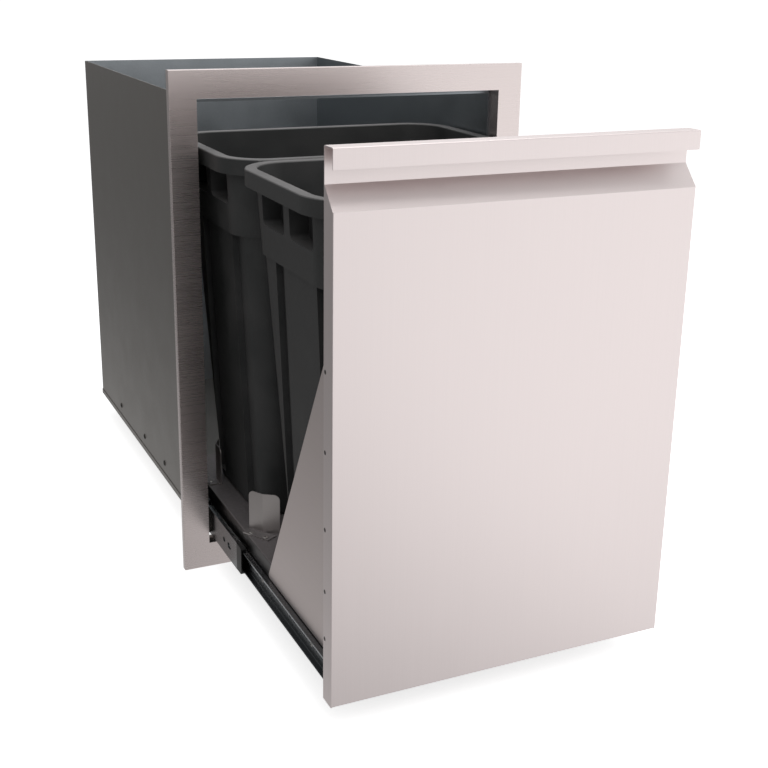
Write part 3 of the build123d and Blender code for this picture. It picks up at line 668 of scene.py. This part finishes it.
screw_sizes = {
    "Head Radius": 4.6 * MM, "Head Height": 2.2 * MM, "Shank Radius": 2.0 * MM,
    "Shank Length": 2.2 * MM, "Recess Width": 1.0 * MM, "Finish": screw_dark,
}
rivet_sizes = {
    "Head Radius": 3.4 * MM, "Head Height": 1.1 * MM, "Shank Radius": 1.6 * MM,
    "Shank Length": 3.3 * MM, "Recess Width": 1.0 * MM, "Finish": fastener_zinc,
}
LEFT, RIGHT, UP, BACK = (-1, 0, 0), (1, 0, 0), (0, 0, 1), (0, 1, 0)
row_table = [
    ("housing_screws_left", "slide_screws_left", LEFT, screw_tree, screw_sizes, "cabinet"),
    ("housing_screws_right", "slide_screws_right", RIGHT, screw_tree, screw_sizes, "cabinet"),
    ("flange_rivets_left", "slide_rivets_left", LEFT, rivet_tree, rivet_sizes, "drawer"),
    ("flange_rivets_right", "slide_rivets_right", RIGHT, rivet_tree, rivet_sizes, "drawer"),
    ("foot_rivets", "guide_rivets", UP, rivet_tree, rivet_sizes, "drawer"),
    ("back_rivets", "liner_rivets", BACK, rivet_tree, rivet_sizes, "drawer"),
]
rows = [fastener_row(*entry) for entry in row_table]
print("fastener rows:", {row.name: len(row.data.polygons) for row in rows})

# %% [markdown]
# The stage is a plain pale floor under the frame's lower edge. It is lit like everything else, so it
# keeps the drawer's shadow, and a little glow that only the camera sees lifts its bare part to white.
# In the steel's reflections the floor is a painted reflection instead: a glow that only glossy rays
# see, which rises from dim on the left to somewhat brighter than white on the right, and falls off
# again close to the drawer. That unevenness is what tells a left-hand face from a front one.

# %% Floor
floor_z = cad_box[0][2]
floor_mesh = bpy.data.meshes.new("floor")
reach = 30.0
floor_mesh.from_pydata(
    [(-reach, -reach, floor_z), (reach, -reach, floor_z), (reach, reach, floor_z),
     (-reach, reach, floor_z)],
    [],
    [(0, 1, 2, 3)],
)
floor = bpy.data.objects.new("floor", floor_mesh)
bpy.context.scene.collection.objects.link(floor)
paper, tree = new_material("paper_floor")
rays = add_node(tree, "ShaderNodeLightPath")
matt = add_node(tree, "ShaderNodeBsdfDiffuse", Color=linear("#E4E4E4"))
camera_glow = 0.72             # added to the lit floor, this reaches white
mirrored_left, mirrored_right = 0.28, 1.20
glow_level = add_node(
    tree, "ShaderNodeMath", {"operation": "MULTIPLY"}, i0=rays.outputs["Is Camera Ray"],
    i1=camera_glow
)
glow = add_node(
    tree, "ShaderNodeEmission", Color=linear("#FFFFFF"), Strength=glow_level.outputs[0]
)
seen_paper = add_node(tree, "ShaderNodeAddShader", i0=matt.outputs[0], i1=glow.outputs[0])
spot = add_node(tree, "ShaderNodeNewGeometry")
spot_parts = add_node(tree, "ShaderNodeSeparateXYZ", Vector=spot.outputs["Position"])
# Painted reflection: the glow that glossy rays see, uneven across the floor.
mirrored_level = add_node(
    tree, "ShaderNodeMapRange", Value=spot_parts.outputs["X"], i1=-0.7, i2=0.3,
    i3=mirrored_left, i4=mirrored_right
)
near_level = add_node(
    tree, "ShaderNodeMapRange", Value=spot_parts.outputs["Y"], i1=-1.0, i2=-0.4, i3=1.0, i4=0.80
)
floor_level = add_node(
    tree, "ShaderNodeMath", {"operation": "MULTIPLY"}, i0=mirrored_level.outputs[0],
    i1=near_level.outputs[0]
)
painted_reflection_glow = add_node(
    tree, "ShaderNodeEmission", Color=linear("#FFFFFF"), Strength=floor_level.outputs[0]
)
paper_shader = add_node(
    tree, "ShaderNodeMixShader", i0=rays.outputs["Is Glossy Ray"], i1=seen_paper.outputs[0],
    i2=painted_reflection_glow.outputs[0]
)
add_node(tree, "ShaderNodeOutputMaterial", Surface=paper_shader.outputs[0])
floor_mesh.materials.append(paper)

# %% [markdown]
# The light is that of a small studio: a pale room that is dimmer on the left, a large soft lamp
# above and in front, one overhead, and a weaker one on the right. The camera sees the room as
# plain white. Reflections see it a little brighter than the surfaces' own light does, with a
# ceiling that is darker than the walls.

# %% World and lamps
world = bpy.data.worlds.new("studio")
bpy.context.scene.world = world
world.use_nodes = True
tree = world.node_tree
tree.nodes.clear()
rays = add_node(tree, "ShaderNodeLightPath")
seen = add_node(
    tree, "ShaderNodeMath", {"operation": "MAXIMUM"}, i0=rays.outputs["Is Camera Ray"],
    i1=rays.outputs["Is Transmission Ray"]
)
heading = add_node(tree, "ShaderNodeTexCoord")
parts = add_node(tree, "ShaderNodeSeparateXYZ", Vector=heading.outputs["Generated"])
rightward = add_node(
    tree, "ShaderNodeMapRange", Value=parts.outputs["X"], i1=-0.6, i2=0.25, i3=0.0, i4=1.0
)
upward = add_node(
    tree, "ShaderNodeMapRange", Value=parts.outputs["Z"], i1=0.3, i2=0.8, i3=0.0, i4=1.0
)
bright = add_node(
    tree, "ShaderNodeMath", {"operation": "MAXIMUM"}, i0=rightward.outputs[0], i1=upward.outputs[0]
)
ambient = add_node(
    tree, "ShaderNodeMapRange", Value=bright.outputs[0], i1=0.0, i2=1.0, i3=0.30, i4=0.50
)
walls = add_node(
    tree, "ShaderNodeMapRange", Value=bright.outputs[0], i1=0.0, i2=1.0, i3=0.35, i4=0.90
)
ceiling = add_node(
    tree, "ShaderNodeMapRange", Value=parts.outputs["Z"], i1=0.45, i2=0.80, i3=1.0, i4=0.62
)
glossy = add_node(
    tree, "ShaderNodeMath", {"operation": "MULTIPLY"}, i0=walls.outputs[0], i1=ceiling.outputs[0]
)
room = add_node(
    tree, "ShaderNodeMix", {"data_type": "FLOAT"}, i0=rays.outputs["Is Glossy Ray"],
    i2=ambient.outputs[0], i3=glossy.outputs[0]
)
level = add_node(
    tree, "ShaderNodeMix", {"data_type": "FLOAT"}, i0=seen.outputs[0], i2=room.outputs[0], i3=1.0
)
sky = add_node(tree, "ShaderNodeBackground", Color=(1, 1, 1, 1), Strength=level.outputs[0])
add_node(tree, "ShaderNodeOutputWorld", Surface=sky.outputs[0])


def soft_lamp(name, place, target, size, power):
    """A square area lamp that looks at a point."""
    lamp = bpy.data.lights.new(name, "AREA")
    lamp.size = size
    lamp.energy = power
    holder = bpy.data.objects.new(name, lamp)
    holder.location = place
    holder.rotation_euler = (Vector(target) - Vector(place)).to_track_quat("-Z", "Y").to_euler()
    bpy.context.scene.collection.objects.link(holder)


middle = [(low + high) / 2 for low, high in zip(*cad_box)]
soft_lamp("lamp_key", (-1.0, -2.6, 2.6), middle, 2.0, 26)
soft_lamp("lamp_top", (0.4, 0.2, 2.8), middle, 2.4, 30)
soft_lamp("lamp_right", (2.6, -1.2, 1.2), middle, 1.8, 10)

# %% [markdown]
# The camera stands at the front left, a little above the drawer, and looks down at it with a
# mild telephoto lens. Its matrix is built from three turns: to the right, down and a slight roll.

# %% Camera
lens_data = bpy.data.cameras.new("camera")
lens_data.sensor_width = 36.0
lens_data.lens = 57.62
lens_data.shift_x = 0.0016
lens_data.shift_y = -0.0389
lens_data.clip_end = 200
camera = bpy.data.objects.new("camera", lens_data)
turn_right = math.radians(-25.108)
look_down = math.radians(-17.608)
roll = math.radians(-0.973)
aim = (
    Matrix.Rotation(turn_right, 4, "Z")
    @ Matrix.Rotation(look_down, 4, "X")
    @ Matrix.Rotation(roll, 4, "Y")
)
upright = Matrix.Rotation(math.radians(90), 4, "X")
camera.matrix_world = Matrix.Translation((-0.66571, -1.52806, 0.80919)) @ aim @ upright
bpy.context.scene.collection.objects.link(camera)
bpy.context.scene.camera = camera
bpy.context.scene.view_settings.view_transform = "Standard"
print("camera at", [round(v, 3) for v in camera.matrix_world.translation])
